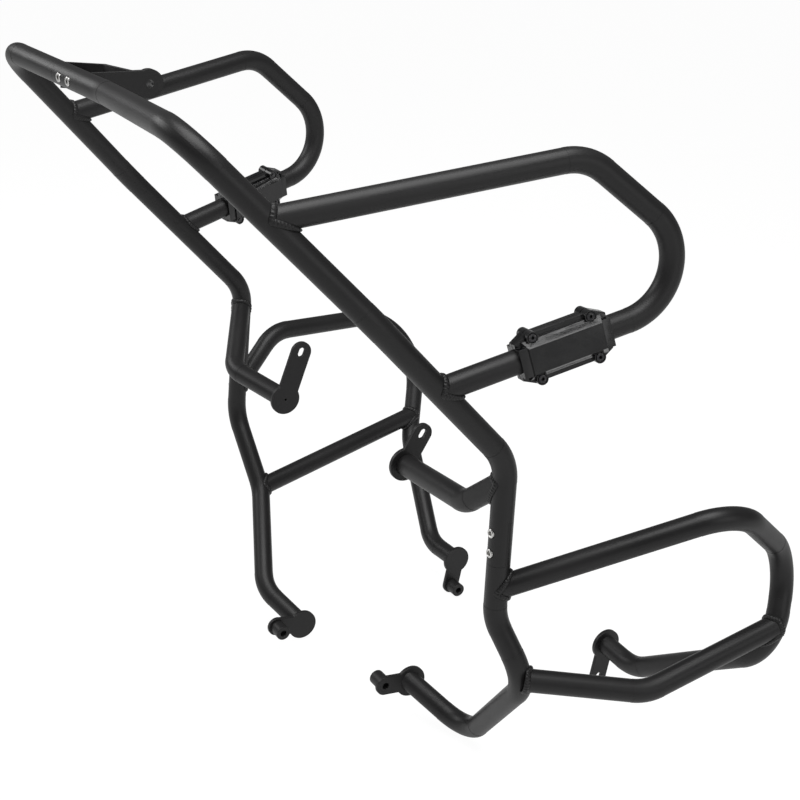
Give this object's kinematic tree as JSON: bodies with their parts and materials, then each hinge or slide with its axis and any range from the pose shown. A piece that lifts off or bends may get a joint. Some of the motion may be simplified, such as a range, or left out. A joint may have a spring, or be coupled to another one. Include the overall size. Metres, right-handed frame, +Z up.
{
  "type": "motorcycle crash bars",
  "caption": "Bolted set of bent tube crash bars for a motorcycle, with welded loops, half-lap joints, mount plates and clamped plastic impact blocks",
  "frame": {"origin": "On the floor under the middle of the object's box as it stands", "axes": "X points forward along the motorcycle, Y to the motorcycle's left, Z up"},
  "size_m": [0.6629, 0.8702, 0.7857],
  "materials": {
    "paint": "satin black powder coat over steel",
    "shell": "glossy black moulded plastic",
    "steel": "plain stainless steel",
    "dark_steel": "black oxide"
  },
  "bodies": {
    "root": {"upper_left_main_tube": "paint", "upper_left_loop_tube": "paint", "upper_left_stub_tube": "paint", "upper_left_mount_plate": "paint", "upper_right_main_tube": "paint", "upper_right_loop_tube": "paint", "upper_right_stub_tube": "paint", "upper_right_mount_plate": "paint", "lower_left_front_tube": "paint", "lower_left_loop_tube": "paint", "lower_left_bottom_tube": "paint", "lower_left_front_plate": "paint", "lower_left_front_spacer": "paint", "lower_left_rear_plate": "paint", "lower_right_front_tube": "paint", "lower_right_loop_tube": "paint", "lower_right_cross_tube": "paint", "lower_right_front_plate": "paint", "lower_right_front_spacer": "paint", "lower_right_rear_plate": "paint", "lower_right_rear_spacer": "paint", "cross_lap_left_tongue": "paint", "cross_lap_right_tongue": "paint", "left_lap_upper_tongue": "paint", "left_lap_lower_tongue": "paint", "right_lap_upper_tongue": "paint", "right_lap_lower_tongue": "paint", "bracket_near_strip": "paint", "bracket_far_strip": "paint", "upper_left_welds": "paint", "upper_right_welds": "paint", "lower_left_welds": "paint", "lower_right_welds": "paint", "left_block_outer": "shell", "left_block_inner": "shell", "right_block_outer": "shell", "right_block_inner": "shell", "lap_screws": "steel", "block_screws": "dark_steel", "block_nuts": "dark_steel"}
  },
  "joints": []
}
